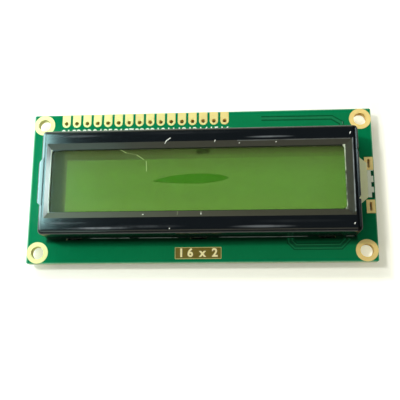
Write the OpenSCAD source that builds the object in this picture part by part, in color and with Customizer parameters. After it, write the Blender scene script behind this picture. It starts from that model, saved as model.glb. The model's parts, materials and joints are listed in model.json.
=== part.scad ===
// Character LCD module, two lines of sixteen characters, chip-on-board construction.
// Millimetres. X runs along the display, Y towards the header row, Z out of the display face.
// The origin is on the surface the module lies on, below the centre of the circuit board.

/* [Circuit board] */
// Length of the circuit board along the display
board_l = 80; // [78:0.5:84]
// Width of the circuit board
board_w = 36; // [34:0.5:40]
// Thickness of the circuit board
board_t = 1.6; // [1.2:0.1:2.0]
// Radius of the board's sawn corners
board_corner_r = 0.4; // [0.2:0.1:1.0]
// Thickness of the copper lands, which stand proud of the board by this much
copper_t = 0.05; // [0.03:0.01:0.08]

/* [Mounting holes] */
// Distance between mounting holes along the board
hole_pitch_x = 75; // [72:0.5:76]
// Distance between mounting holes across the board
hole_pitch_y = 31; // [29:0.5:32]
// Radius of the plated mounting hole
hole_r = 1.5; // [1.2:0.05:1.7]
// Radius of the gold land round a mounting hole
hole_land_r = 2.5; // [2.1:0.05:2.5]

/* [Header row] */
// Number of header holes
pin_count = 16; // [14:1:18]
// Distance between header holes
pin_pitch = 2.54; // [2.54:0.01:2.54]
// Position of the first header hole along the board
pin_first_x = -32.2; // [-33:0.1:-31]
// Position of the header row across the board
pin_row_y = 15.8; // [15.4:0.1:16.2]
// Radius of a plated header hole
pin_hole_r = 0.5; // [0.45:0.01:0.55]
// Width of a header land
pin_land_w = 1.96; // [1.7:0.02:2.1]

/* [Backlight lands] */
// Size of a backlight land along X
lamp_land_l = 2.0; // [1.6:0.1:2.2]
// Size of a backlight land along Y
lamp_land_w = 3.1; // [2.6:0.1:3.4]
// Gap between a backlight land and the end of the board
lamp_land_inset = 0.1; // [0.05:0.05:0.3]
// Middle of the upper and the lower backlight land across the board
lamp_land_y = [4.6, -5.5]; // [-8:0.1:8]
// Width of the slot in a backlight land
lamp_slot_w = 0.6; // [0.5:0.05:0.9]
// Length of the slot in a backlight land
lamp_slot_l = 2.1; // [1.6:0.1:2.4]

/* [Bezel] */
// Length of the bezel along X
bezel_l = 71.6; // [70:0.1:72]
// Width of the bezel along Y
bezel_w = 24.2; // [23.8:0.1:24.6]
// Height of the bezel above the board
bezel_h = 6.8; // [6.6:0.1:7.2]
// Middle of the bezel across the board
bezel_y = -0.25; // [-0.4:0.05:0.2]
// Thickness of the bezel's steel sheet
sheet_t = 0.4; // [0.3:0.05:0.45]
// Outer radius of the bezel's folds and corners
fold_r = 1.0; // [0.8:0.05:1.2]

/* [Window] */
// Length of the window along X
window_l = 66.2; // [64:0.1:66.4]
// Width of the window along Y
window_w = 14.46; // [13.8:0.02:14.6]
// Middle of the window along X, which the piercing punch left off centre
window_x = -0.45; // [-0.5:0.05:0.2]
// Radius of the window's corners
window_r = 0.8; // [0.5:0.1:1.2]
// Length of the bevelled frame round the window
bevel_l = 68.9; // [68.6:0.1:69.0]
// Width of the bevelled frame round the window
bevel_w = 17.4; // [17:0.1:17.8]
// Middle of the bevelled frame across the board
bevel_y = -0.1; // [-0.15:0.05:0]
// How far the bevel drops below the bezel's face
bevel_drop = 0.8; // [0.6:0.05:0.9]
// Width of the flat lip at the foot of the bevel
lip_w = 0.1; // [0.05:0.05:0.35]

/* [End openings and tabs] */
// Lower and upper limit across the board of the opening in the left end wall
left_gap = [-5.8, 5.1]; // [-8:0.1:8]
// Lower and upper limit across the board of the opening in the right end wall
right_gap = [-5.2, 6.4]; // [-8:0.1:8]
// Bend radius of the half-folded tongue over each opening, left end and right end
tongue_r = [2.0, 1.0]; // [0.9:0.1:3]
// How far each tongue is bent down, left end and right end
tongue_turn = [50, 75]; // [10:1:80]
// Length of a tongue's slanted corners
tongue_slant = 0.9; // [0.6:0.1:1.4]
// Position of the tabs along the bezel
tab_x = [-29, -0.2, 28.8]; // [-31:0.1:31]
// Width of a tab's head
tab_w = 3.0; // [2.4:0.1:3.4]
// Width of the neck below a tab's wall, which passes through the board
tab_neck_w = 1.5; // [1.2:0.1:1.8]
// How far a tab stands out below the board
tab_out = 1.3; // [1.0:0.05:1.4]
// How far a tab's head is turned
tab_turn = 38; // [20:1:45]
// Length of the relief cut in the wall's foot at each tab
relief_l = 8.0; // [6:0.1:9]
// Height of the relief cut
relief_h = 0.5; // [0.3:0.05:0.7]

/* [Liquid crystal cell] */
// Length of the glass plates
glass_l = 69.6; // [69:0.1:69.8]
// Width of the front glass, which carries the contact ledges
front_glass_w = 22.8; // [22.4:0.1:23]
// Width of the rear glass
rear_glass_w = 18.2; // [17.8:0.1:18.4]
// Thickness of each glass plate
glass_t = 1.1; // [0.9:0.05:1.1]
// Gap between the plates, filled by the seal and the liquid crystal
cell_gap = 0.1; // [0.06:0.01:0.12]
// Width of the seal bead round the liquid crystal
seal_w = 1.0; // [0.8:0.1:1.4]
// Thickness of a polariser
polariser_t = 0.2; // [0.15:0.01:0.22]
// Length of the polarisers
polariser_l = 67.6; // [67.2:0.1:68]
// Width of the polarisers
polariser_w = 15.8; // [15.4:0.1:16]

/* [Backlight] */
// Length of the white frame that holds the backlight
frame_l = 69.6; // [69:0.1:69.8]
// Width of the white frame
frame_w = 18.2; // [17.8:0.1:18.4]
// Width of the frame's long walls
frame_wall = 0.9; // [0.7:0.05:1.0]
// Width of the frame's end walls, left end and right end
frame_end_wall = [0.5, 0.3]; // [0.3:0.05:0.5]
// Thickness of the reflector film
reflector_t = 0.15; // [0.1:0.01:0.2]
// Thickness of the diffuser film
diffuser_t = 0.2; // [0.15:0.01:0.25]
// How far the reflector's tail runs out past the middle of the board
tail_x = 38.4; // [37.8:0.1:38.6]
// Number of light-emitting diodes at the end of the light guide
led_count = 3; // [2:1:4]

/* [Elastomer strips] */
// Length of an elastomer strip
strip_l = 64; // [60:0.5:66]
// Thickness of an elastomer strip
strip_t = 2.0; // [1.8:0.05:2.0]
// Number of contact pads under a strip
pad_count = 48; // [40:1:52]
// Distance between contact pads
pad_pitch = 1.25; // [1.1:0.01:1.25]
// Width of a contact pad
pad_w = 0.75; // [0.6:0.05:0.8]

/* [Back of the board] */
// How far the epoxy drops stand out behind the board
drop_h = 1.6; // [1.45:0.05:1.8]
// Radius of an epoxy drop
drop_r = 7.6; // [7:0.1:8]
// Radius of the flat on top of an epoxy drop
drop_flat_r = 4.2; // [4:0.1:5]
// Distance between the two epoxy drops
drop_pitch = 30; // [26:0.5:34]
// Side of a chip under its epoxy drop
die_side = 4.6; // [3.5:0.1:5]
// Thickness of a chip under its epoxy drop
die_t = 0.4; // [0.3:0.05:0.5]
// Length, width and height of a chip resistor
resistor_size = [2.0, 1.25, 0.5]; // [0.4:0.05:3.2]
// Length, width and height of a chip capacitor
capacitor_size = [2.0, 1.25, 0.9]; // [0.4:0.05:3.2]

/* [Hidden] */
$fn = 64;
FUSE = 0.2; // overlap between shapes that are joined
PASS = 1; // how far a cutting shape runs past a face

board_z = drop_h; // back of the board
face_z = board_z + board_t; // front of the board
bezel_z = face_z + bezel_h; // front of the bezel
lip_z = bezel_z - bevel_drop - sheet_t; // underside of the window's lip

front_glass_z = lip_z - polariser_t - glass_t;
rear_glass_z = front_glass_z - cell_gap - glass_t;
rear_polariser_z = rear_glass_z - polariser_t;
diffuser_z = rear_polariser_z - diffuser_t;
reflector_z = face_z + copper_t;
guide_z = reflector_z + reflector_t;

fold_x = bezel_l / 2 - fold_r; // where the end folds start
bezel_in_l = bezel_l - 2 * sheet_t;
bezel_in_w = bezel_w - 2 * sheet_t;
strip_y = (rear_glass_w + strip_t) / 2 + 0.15; // middle of a strip from the bezel's middle
tab_slot_l = tab_w + 0.8;
tab_slot_w = sheet_t + 0.5;
bevel_run_y = (bevel_w - window_w) / 2 - lip_w;

guide_end_x = 33.0; // right end of the light guide
led_depth = 1.0;
led_w = 3.0;
led_h = 1.6;
led_board_t = 0.5;
led_board_l = 15.0;

// Resistors and capacitors: middle of each along X and Y, and its turn
resistor_places = [
  for (i = [0:4]) [-30.5 + 2.6 * i, -14.6, 90],
  [0, 5.5, 90],
  [0, 0.5, 90],
  [27.5, -6.5, 0],
  [27.5, 6.0, 0]
];
capacitor_places = [[0, -5.0, 90], [-28.5, 2.0, 90]];

// A rectangle with round corners, about its middle
module round_rect(l, w, r) {
  square([l - 2 * r, w], center = true);
  square([l, w - 2 * r], center = true);
  for (x = [-1, 1], y = [-1, 1]) {
    translate([x * (l / 2 - r), y * (w / 2 - r)]) circle(r);
  }
}

// A slot with round ends along Y
module slot_outline(w, l) {
  square([w, l - w], center = true);
  for (y = [-1, 1]) translate([0, y * (l - w) / 2]) circle(w / 2);
}

module at_mounting_holes() {
  for (x = [-1, 1], y = [-1, 1]) translate([x * hole_pitch_x / 2, y * hole_pitch_y / 2]) children();
}

module at_header_holes() {
  for (i = [0:pin_count - 1]) translate([pin_first_x + pin_pitch * i, pin_row_y]) children();
}

module at_backlight_lands() {
  for (y = lamp_land_y) translate([board_l / 2 - lamp_land_inset - lamp_land_l / 2, y]) children();
}

// Each tab's place in the wall: the tab lies between Y = 0 and Y = -sheet_t, outside face at Y = 0
module at_tabs() {
  for (x = tab_x) {
    translate([x, bezel_y + bezel_w / 2]) children();
    translate([x, bezel_y - bezel_w / 2]) mirror([0, 1]) children();
  }
}

// ---- circuit board and its plated copper ----

module circuit_board() {
  color("darkgreen") translate([0, 0, board_z]) linear_extrude(board_t) difference() {
    round_rect(board_l, board_w, board_corner_r);
    at_mounting_holes() circle(hole_r);
    at_header_holes() circle(pin_hole_r);
    at_backlight_lands() slot_outline(lamp_slot_w, lamp_slot_l);
    at_tabs() translate([0, -sheet_t / 2]) square([tab_slot_l, tab_slot_w], center = true);
  }
}

// The lands round a hole: one on the front and one on the back of the board
module front_and_back() {
  for (z = [face_z, board_z - copper_t]) translate([0, 0, z]) linear_extrude(copper_t) children();
}

module mounting_lands() {
  color("gold") at_mounting_holes() front_and_back() difference() {
    circle(hole_land_r);
    circle(hole_r);
  }
}

// A header land runs from the edge of the board to a round end past its hole
module header_lands() {
  color("gold") at_header_holes() front_and_back() difference() {
    union() {
      circle(pin_land_w / 2);
      translate([-pin_land_w / 2, 0]) square([pin_land_w, board_w / 2 - pin_row_y]);
    }
    circle(pin_hole_r);
  }
}

module backlight_lands() {
  color("gold") at_backlight_lands() front_and_back() difference() {
    square([lamp_land_l, lamp_land_w], center = true);
    slot_outline(lamp_slot_w, lamp_slot_l);
  }
}

// Contact pads under an elastomer strip; side is 1 for the upper strip and -1 for the lower
module contact_pads(side) {
  color("gold") for (i = [0:pad_count - 1]) {
    translate([(i - (pad_count - 1) / 2) * pad_pitch, bezel_y + side * strip_y, face_z + copper_t / 2])
      cube([pad_w, strip_t, copper_t], center = true);
  }
}

// ---- bezel ----

// A block with round top edges and round upright corners, standing on Z = 0
module round_block(l, w, h, r) {
  for (x = [-1, 1], y = [-1, 1]) {
    translate([x * (l / 2 - r), y * (w / 2 - r), 0]) cylinder(r = r, h = h - r);
    translate([x * (l / 2 - r), y * (w / 2 - r), h - r]) sphere(r);
  }
  for (x = [-1, 1]) {
    translate([x * (l / 2 - r), 0, h - r]) rotate([90, 0, 0]) cylinder(r = r, h = w - 2 * r, center = true);
  }
  for (y = [-1, 1]) {
    translate([0, y * (w / 2 - r), h - r]) rotate([0, 90, 0]) cylinder(r = r, h = l - 2 * r, center = true);
  }
  translate([0, 0, (h - r) / 2]) {
    cube([l, w - 2 * r, h - r], center = true);
    cube([l - 2 * r, w, h - r], center = true);
  }
  translate([0, 0, h / 2]) cube([l - 2 * r, w - 2 * r, h], center = true);
}

// How far the underside of a fold lies outside its top side, for a bevel of this run
function mitre(run) = sheet_t * tan(atan2(bevel_drop, run) / 2);

// A trapezium across the bevelled frame from a to b, with slopes of these runs; under is 1 for the
// underside of the sheet and 0 for its top side
module bevel_profile(a, b, run_a, run_b, under) {
  drop = under * sheet_t;
  polygon([
    [a - under * mitre(run_a), bezel_z - drop],
    [a - under * mitre(run_a), bezel_z + (1 - under) * PASS],
    [b + under * mitre(run_b), bezel_z + (1 - under) * PASS],
    [b + under * mitre(run_b), bezel_z - drop],
    [b - run_b + under * mitre(run_b), bezel_z - bevel_drop - drop],
    [a + run_a - under * mitre(run_a), bezel_z - bevel_drop - drop]
  ]);
}

// The funnel that the bevel encloses, mitred at its corners; lengths and widths meet as two extrusions
module bevel_funnel(under) {
  run_left = (bevel_l - window_l) / 2 + window_x - lip_w;
  run_right = (bevel_l - window_l) / 2 - window_x - lip_w;
  run_low = bevel_run_y - bevel_y;
  run_high = bevel_run_y + bevel_y;
  intersection() {
    translate([0, board_w / 2, 0]) rotate([90, 0, 0]) linear_extrude(board_w)
      bevel_profile(-bevel_l / 2, bevel_l / 2, run_left, run_right, under);
    translate([-board_l / 2, 0, 0]) rotate([90, 0, 90]) linear_extrude(board_l)
      bevel_profile(bevel_y - bevel_w / 2, bevel_y + bevel_w / 2, run_low, run_high, under);
  }
}

// The tongue left over an end opening, where the sheet is only half folded: bent down from X = 0 about a
// wider radius than the fold's, with slanted corners; gap gives its limits along Y
module tongue(gap, r, turn) {
  reach = r * sin(turn);
  intersection() {
    translate([0, gap[1], bezel_z - r]) rotate([90, 0, 0]) linear_extrude(gap[1] - gap[0]) {
      intersection() {
        difference() {
          circle(r);
          circle(r - sheet_t);
        }
        polygon([[0, 0], [0, 2 * r], [2 * r * tan(turn), 2 * r], [2 * r * sin(turn), 2 * r * cos(turn)]]);
      }
      translate([-PASS, r - sheet_t]) square([PASS, sheet_t]);
    }
    translate([0, 0, face_z]) linear_extrude(bezel_h + PASS) polygon([
      [-PASS, gap[0]],
      [0, gap[0]],
      [0.4 * reach, gap[0]],
      [reach, gap[0] + tongue_slant],
      [reach + PASS, gap[0] + tongue_slant],
      [reach + PASS, gap[1] - tongue_slant],
      [reach, gap[1] - tongue_slant],
      [0.4 * reach, gap[1]],
      [0, gap[1]],
      [-PASS, gap[1]]
    ]);
  }
}

// An opening through an end wall and its fold, from X = 0 outwards
module end_opening(gap) {
  translate([0, gap[0], face_z - FUSE]) cube([fold_r + PASS, gap[1] - gap[0], bezel_h + PASS]);
}

// One tab: a neck that passes through the board, and a head that was turned to lock behind it
module tab() {
  head_top = board_z - 0.05;
  translate([0, -sheet_t / 2, 0]) {
    translate([-tab_neck_w / 2, -sheet_t / 2, head_top - FUSE])
      cube([tab_neck_w, sheet_t, face_z + relief_h + FUSE - (head_top - FUSE)]);
    translate([0, 0, board_z - tab_out]) rotate(tab_turn) linear_extrude(head_top - (board_z - tab_out))
      square([tab_w, sheet_t], center = true);
  }
}

module bezel() {
  color([0.09, 0.1, 0.11]) {
    difference() {
      union() {
        difference() {
          translate([0, bezel_y, face_z]) round_block(bezel_l, bezel_w, bezel_h, fold_r);
          translate([0, bezel_y, face_z - FUSE])
            round_block(bezel_in_l, bezel_in_w, bezel_h - sheet_t + FUSE, fold_r - sheet_t);
          translate([-fold_x, 0, 0]) mirror([1, 0, 0]) end_opening(left_gap);
          translate([fold_x, 0, 0]) end_opening(right_gap);
          // reliefs in the feet of the long walls
          at_tabs() translate([-relief_l / 2, -fold_r, face_z - FUSE]) cube([relief_l, fold_r + PASS, relief_h + FUSE]);
        }
        bevel_funnel(1);
        translate([-fold_x, 0, 0]) mirror([1, 0, 0]) tongue(left_gap, tongue_r[0], tongue_turn[0]);
        translate([fold_x, 0, 0]) tongue(right_gap, tongue_r[1], tongue_turn[1]);
      }
      bevel_funnel(0);
      translate([window_x, 0, lip_z - PASS]) linear_extrude(bevel_drop + sheet_t + 2 * PASS)
        round_rect(window_l, window_w, window_r);
    }
    at_tabs() tab();
  }
}

// ---- liquid crystal cell ----

module front_polariser() {
  color([0.42, 0.55, 0.28]) translate([window_x, 0, lip_z - polariser_t / 2])
    cube([polariser_l, polariser_w, polariser_t], center = true);
}

module front_glass() {
  color([0.75, 0.85, 0.75]) translate([0, bezel_y, front_glass_z + glass_t / 2])
    cube([glass_l, front_glass_w, glass_t], center = true);
}

// The seal's outline, with the filling port left open at the left end
module seal_outline() {
  difference() {
    square([glass_l - 0.8, rear_glass_w - 0.8], center = true);
    square([glass_l - 0.8 - 2 * seal_w, rear_glass_w - 0.8 - 2 * seal_w], center = true);
    translate([-glass_l / 2 + 0.4 + seal_w / 2, 0]) square([seal_w + FUSE, fill_port_w], center = true);
  }
}

fill_port_w = 4; // width of the filling port

module cell_seal() {
  color("dimgray") translate([0, bezel_y, rear_glass_z + glass_t]) linear_extrude(cell_gap) seal_outline();
}

module liquid_crystal() {
  color([0.6, 0.7, 0.4]) translate([0, bezel_y, rear_glass_z + glass_t + cell_gap / 2])
    cube([glass_l - 0.8 - 2 * seal_w, rear_glass_w - 0.8 - 2 * seal_w, cell_gap], center = true);
}

// Cured glue that stops the filling port and beads on the glass edge
module fill_plug() {
  color("wheat") translate([-glass_l / 2, bezel_y, rear_glass_z + glass_t]) {
    translate([0.4, -fill_port_w / 2, 0]) cube([seal_w, fill_port_w, cell_gap]);
    translate([0, -fill_port_w / 2, 0]) cube([0.4, fill_port_w, cell_gap]);
  }
}

module rear_glass() {
  color([0.75, 0.85, 0.75]) translate([0, bezel_y, rear_glass_z + glass_t / 2])
    cube([glass_l, rear_glass_w, glass_t], center = true);
}

module rear_polariser() {
  color([0.42, 0.55, 0.28]) translate([window_x, 0, rear_polariser_z + polariser_t / 2])
    cube([polariser_l, polariser_w, polariser_t], center = true);
}

// An elastomer strip presses the glass ledge's contacts onto the board's pads
module elastomer_strip(side) {
  foot_z = face_z + copper_t;
  color([0.82, 0.62, 0.55]) translate([0, bezel_y + side * strip_y, (foot_z + front_glass_z) / 2])
    cube([strip_l, strip_t, front_glass_z - foot_z], center = true);
}

// ---- backlight ----

frame_in_w = frame_w - 2 * frame_wall;
frame_in_left = -frame_l / 2 + frame_end_wall[0];
frame_in_right = frame_l / 2 - frame_end_wall[1];

module backlight_frame() {
  color("white") translate([0, bezel_y, guide_z]) difference() {
    translate([-frame_l / 2, -frame_w / 2, 0]) cube([frame_l, frame_w, rear_glass_z - guide_z]);
    translate([frame_in_left, -frame_in_w / 2, -PASS])
      cube([frame_in_right - frame_in_left, frame_in_w, rear_glass_z - guide_z + 2 * PASS]);
  }
}

module diffuser_film() {
  color([0.95, 0.96, 0.92]) translate([frame_in_left, bezel_y - frame_in_w / 2, diffuser_z])
    cube([frame_in_right - frame_in_left, frame_in_w, diffuser_t]);
}

module light_guide() {
  color([0.9, 0.97, 0.85]) translate([frame_in_left, bezel_y - frame_in_w / 2, guide_z])
    cube([guide_end_x - frame_in_left, frame_in_w, diffuser_z - guide_z]);
}

// The reflector lies on the board, and its tail runs out of the right end opening with cut corners
module reflector_film() {
  tail_end = [4.7, -3.4]; // upper and lower corner of the tail's outer edge
  tail_root = [6.2, -4.9]; // where the tail's slanted sides start
  root_x = bezel_l / 2 + 0.9;
  side_x = frame_l / 2;
  low = bezel_y - frame_w / 2;
  high = bezel_y + frame_w / 2;
  color([0.66, 0.64, 0.52]) translate([0, 0, reflector_z]) linear_extrude(reflector_t) polygon([
    [-side_x, low],
    [side_x, low],
    [side_x, tail_root[1]],
    [root_x, tail_root[1]],
    [tail_x, tail_end[1]],
    [tail_x, tail_end[0]],
    [root_x, tail_root[0]],
    [side_x, tail_root[0]],
    [side_x, high],
    [-side_x, high]
  ]);
}

module led_board() {
  color("ivory") translate([guide_end_x + led_depth, bezel_y - led_board_l / 2, guide_z])
    cube([led_board_t, led_board_l, diffuser_z - guide_z]);
}

module backlight_leds() {
  step = led_board_l / led_count;
  color("lightyellow") for (i = [0:led_count - 1]) {
    translate([guide_end_x + led_depth / 2, bezel_y + (i - (led_count - 1) / 2) * step, (guide_z + diffuser_z) / 2])
      cube([led_depth, led_w, led_h], center = true);
  }
}

// ---- chips, resistors and capacitors on the back ----

// A chip lies on the back of the board under its drop
module chip(x) {
  color("slategray") translate([x - die_side / 2, -die_side / 2, board_z - die_t]) cube([die_side, die_side, die_t]);
}

// Half of the drop's outline: a flat top, then an arc that meets the flat smoothly and ends at the board
module drop_outline() {
  run = drop_r - drop_flat_r;
  arc_r = (run * run + drop_h * drop_h) / (2 * drop_h);
  square([drop_flat_r, drop_h]);
  intersection() {
    translate([drop_flat_r, drop_h - arc_r]) circle(arc_r, $fn = 128);
    translate([drop_flat_r - FUSE, 0]) square([run + FUSE, drop_h]);
  }
}

module epoxy_drop(x) {
  color([0.08, 0.08, 0.08]) difference() {
    translate([x, 0, board_z]) mirror([0, 0, 1]) rotate_extrude() drop_outline();
    translate([x - die_side / 2, -die_side / 2, board_z - die_t]) cube([die_side, die_side, die_t + PASS]);
  }
}

// Chip part bodies and the metal caps on their ends, hanging under the board on thin solder
solder_t = 0.05;
cap_l = 0.35; // length of an end cap

module at_places(places) {
  for (p = places) translate([p[0], p[1], board_z]) rotate(p[2]) mirror([0, 0, 1]) children();
}

module part_body(size) {
  translate([-size[0] / 2 + cap_l, -size[1] / 2, solder_t]) cube([size[0] - 2 * cap_l, size[1], size[2]]);
}

module part_caps(size) {
  for (side = [-1, 1]) {
    translate([side * (size[0] - cap_l) / 2, 0, (size[2] + solder_t) / 2])
      cube([cap_l, size[1], size[2] + solder_t], center = true);
  }
}

module resistor_bodies() {
  color([0.12, 0.12, 0.13]) at_places(resistor_places) part_body(resistor_size);
}

module resistor_end_caps() {
  color("silver") at_places(resistor_places) part_caps(resistor_size);
}

module capacitor_bodies() {
  color([0.72, 0.58, 0.42]) at_places(capacitor_places) part_body(capacitor_size);
}

module capacitor_end_caps() {
  color("silver") at_places(capacitor_places) part_caps(capacitor_size);
}

circuit_board();
mounting_lands();
header_lands();
backlight_lands();
contact_pads(1);  // upper_contact_pads
contact_pads(-1);  // lower_contact_pads
bezel();
front_polariser();
front_glass();
cell_seal();
liquid_crystal();
fill_plug();
rear_glass();
rear_polariser();
elastomer_strip(1);  // upper_elastomer_strip
elastomer_strip(-1);  // lower_elastomer_strip
backlight_frame();
diffuser_film();
light_guide();
reflector_film();
led_board();
backlight_leds();
chip(-drop_pitch / 2);  // controller_chip
epoxy_drop(-drop_pitch / 2);  // controller_epoxy_drop
chip(drop_pitch / 2);  // driver_chip
epoxy_drop(drop_pitch / 2);  // driver_epoxy_drop
resistor_bodies();
resistor_end_caps();
capacitor_bodies();
capacitor_end_caps();
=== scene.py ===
"""Character LCD module: finishes, printing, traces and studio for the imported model."""
import functools
import json
import math

import bpy
import numpy as np
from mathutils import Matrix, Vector


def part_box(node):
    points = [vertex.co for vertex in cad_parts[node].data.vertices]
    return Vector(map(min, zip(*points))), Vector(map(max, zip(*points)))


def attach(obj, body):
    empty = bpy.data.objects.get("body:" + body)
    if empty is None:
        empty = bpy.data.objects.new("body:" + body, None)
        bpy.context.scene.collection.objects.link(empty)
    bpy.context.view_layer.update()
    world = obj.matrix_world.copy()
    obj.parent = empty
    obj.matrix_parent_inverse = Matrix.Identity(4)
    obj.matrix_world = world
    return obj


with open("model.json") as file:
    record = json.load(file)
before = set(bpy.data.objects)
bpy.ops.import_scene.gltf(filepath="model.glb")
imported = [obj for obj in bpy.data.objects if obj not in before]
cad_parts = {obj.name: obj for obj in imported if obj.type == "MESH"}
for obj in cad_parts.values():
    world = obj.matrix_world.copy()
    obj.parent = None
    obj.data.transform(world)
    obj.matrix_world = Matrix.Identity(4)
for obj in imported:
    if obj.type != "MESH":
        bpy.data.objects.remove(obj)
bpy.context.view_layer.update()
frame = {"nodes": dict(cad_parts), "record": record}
nodes = frame["nodes"]
MM = 0.001

BOARD_BACK, BOARD_FACE = (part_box("circuit_board")[i].z / MM for i in (0, 1))
BEZEL_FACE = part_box("bezel")[1].z / MM
BEZEL_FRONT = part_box("bezel")[0].y / MM
LEFT, RIGHT = (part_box("circuit_board")[i].x / MM for i in (0, 1))
LOWER, UPPER = (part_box("circuit_board")[i].y / MM for i in (0, 1))
LAMP_LANDS = [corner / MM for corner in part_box("backlight_lands")]
MOUNTS = {m["name"]: m for m in frame["record"]["mounts"]}
PINS = [MOUNTS["header_hole_%d" % (i + 1)]["pos_m"] for i in range(16)]
PIN_Y = PINS[0][1] / MM
SCREW_X = MOUNTS["mounting_holes"]["dims"]["spacing_x_mm"] / 2
SCREW_Y = MOUNTS["mounting_holes"]["dims"]["spacing_y_mm"] / 2
SCREW_HOLE_R, PIN_HOLE_R = 1.5, 0.5
LAMP_LAND_L, LAMP_LAND_W = 2.0, 3.1
LAMP_SLOT_W, LAMP_SLOT_L = 0.6, 2.1
LAMP_X = LAMP_LANDS[0].x + LAMP_LAND_L / 2
LAMP_SLOTS = (LAMP_LANDS[0].y + LAMP_LAND_W / 2, LAMP_LANDS[1].y - LAMP_LAND_W / 2)
LAND_T = 0.05
# how far each layer stands clear of the lacquer, so that no two faces lie in one plane
GAP_RISE, TRACE_RISE, PRINT_RISE = 0.006, 0.022, 0.035
CAP_SHARE = 0.72  # the height of a capital letter as a share of the font's size


# ---------------------------------------------------------------- shader maths

class Field:
    """A value that varies over a surface. Arithmetic on fields and numbers adds Math nodes to their tree."""

    def __init__(self, tree, socket):
        self.tree, self.socket = tree, socket

    def maths(self, operation, *values, clamp=False):
        settings = {"operation": operation, "use_clamp": clamp}
        return self.tree.out("ShaderNodeMath", settings, dict(enumerate(values)))

    def __add__(self, other): return self.maths("ADD", self, other)
    def __radd__(self, other): return self.maths("ADD", other, self)
    def __sub__(self, other): return self.maths("SUBTRACT", self, other)
    def __rsub__(self, other): return self.maths("SUBTRACT", other, self)
    def __mul__(self, other): return self.maths("MULTIPLY", self, other)
    def __rmul__(self, other): return self.maths("MULTIPLY", other, self)
    def __truediv__(self, other): return self.maths("DIVIDE", self, other)
    def __rtruediv__(self, other): return self.maths("DIVIDE", other, self)
    def __pow__(self, other): return self.maths("POWER", self, other)
    def __abs__(self): return self.maths("ABSOLUTE", self)
    def low(self, other): return self.maths("MINIMUM", self, other)
    def high(self, other): return self.maths("MAXIMUM", self, other)
    def root(self): return self.maths("SQRT", self)
    def fraction(self): return self.maths("FRACT", self)
    def clamped(self): return self.maths("ADD", self, 0.0, clamp=True)

    def ramp(self, start, end):
        """0 at start and 1 at end, smooth between; start may be above end."""
        settings = {"interpolation_type": "SMOOTHSTEP"}
        if start < end:
            return self.tree.out("ShaderNodeMapRange", settings, {0: self, 1: start, 2: end})
        return 1 - self.tree.out("ShaderNodeMapRange", settings, {0: self, 1: end, 2: start})


class NodeTree:
    """The node tree of a finish or of the world, and one way to add any node to it."""

    def __init__(self, tree):
        self.tree = tree

    def link(self, socket, value):
        """Joins a field or another node's socket to a socket, or writes a plain value on it."""
        if isinstance(value, Field):
            self.tree.links.new(value.socket, socket)
        elif isinstance(value, bpy.types.NodeSocket):
            self.tree.links.new(value, socket)
        else:
            socket.default_value = value

    def node(self, kind, settings=None, inputs=None):
        """Adds a node of that type: its settings are made first, then the values or links of its sockets."""
        node = self.tree.nodes.new(kind)
        for key, value in (settings or {}).items():
            setattr(node, key, value)
        for key, value in (inputs or {}).items():
            self.link(node.inputs[key], value)
        return node

    def out(self, kind, settings=None, inputs=None, output=0):
        """Adds a node and gives one of its outputs as a field."""
        return Field(self, self.node(kind, settings, inputs).outputs[output])

    def split(self, vector):
        """A vector's three values as fields."""
        node = self.node("ShaderNodeSeparateXYZ", None, {0: vector})
        return [Field(self, node.outputs[i]) for i in range(3)]

    def blend(self, factor, first, second):
        """A colour that goes from first to second as factor goes from 0 to 1."""
        pick = lambda c: (*c, 1.0) if isinstance(c, tuple) else c
        return self.out("ShaderNodeMix", {"data_type": "RGBA"}, {0: factor, 6: pick(first), 7: pick(second)}, 2)


class Finish(NodeTree):
    """One material: its Principled shader, and the patterns that its settings are made from."""

    def __init__(self, name, **uniform):
        self.material = bpy.data.materials.new(name)
        self.material.use_nodes = True
        super().__init__(self.material.node_tree)
        self.shader = self.tree.nodes["Principled BSDF"]
        for key, value in uniform.items():
            self.shader.inputs[key.replace("_", " ")].default_value = value
        self.place = self.node("ShaderNodeTexCoord").outputs["Object"]

    def axes(self):
        """The object's X, Y and Z in millimetres."""
        return self.split(self.out("ShaderNodeVectorMath", {"operation": "SCALE"}, {0: self.place, 3: 1 / MM}))

    def facing(self):
        """The surface's normal, as X, Y and Z."""
        return self.split(self.node("ShaderNodeNewGeometry").outputs["Normal"])

    def noise(self, per_mm, detail=2.0, rough=0.5, stretch=None):
        """Noise from 0 to 1 with that many features to a millimetre."""
        place = self.place
        if stretch:
            place = self.out("ShaderNodeVectorMath", {"operation": "MULTIPLY"}, {0: place, 1: stretch})
        return self.out("ShaderNodeTexNoise", {"noise_dimensions": "3D"},
                        {"Vector": place, "Scale": per_mm / MM, "Detail": detail, "Roughness": rough})

    def cells(self, per_mm):
        """Distance to the nearest of points scattered that densely, in units of one cell."""
        return self.out("ShaderNodeTexVoronoi", {"feature": "F1"}, {"Vector": self.place, "Scale": per_mm / MM})

    def tint(self, colour, factor):
        """A colour made lighter or darker by a field that is 1 where nothing changes."""
        grey = self.out("ShaderNodeCombineXYZ", None, {0: factor, 1: factor, 2: factor})
        return self.out("ShaderNodeVectorMath", {"operation": "MULTIPLY"}, {0: colour, 1: grey})

    def set(self, **fields):
        """Drives the shader's settings of those names."""
        for key, value in fields.items():
            self.link(self.shader.inputs[key.replace("_", " ")], value)

    def relief(self, height, depth_mm):
        """Bump from a field whose full swing stands for depth_mm; returns the material."""
        bump = self.node("ShaderNodeBump", None, {"Strength": 1.0, "Distance": depth_mm * MM, "Height": height})
        self.link(self.shader.inputs["Normal"], bump.outputs[0])
        return self.material


def near_line(x, y, ax, ay, bx, by):
    """Distance in millimetres on the plan from the straight line between two points: the place's share along
    the line, kept between 0 and 1, gives the nearest point, and Pythagoras the distance to it."""
    dx, dy = bx - ax, by - ay
    along = (((x - ax) * dx + (y - ay) * dy) / (dx * dx + dy * dy)).clamped()
    across = x - ax - along * dx
    up = y - ay - along * dy
    return (across * across + up * up).root()


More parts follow.
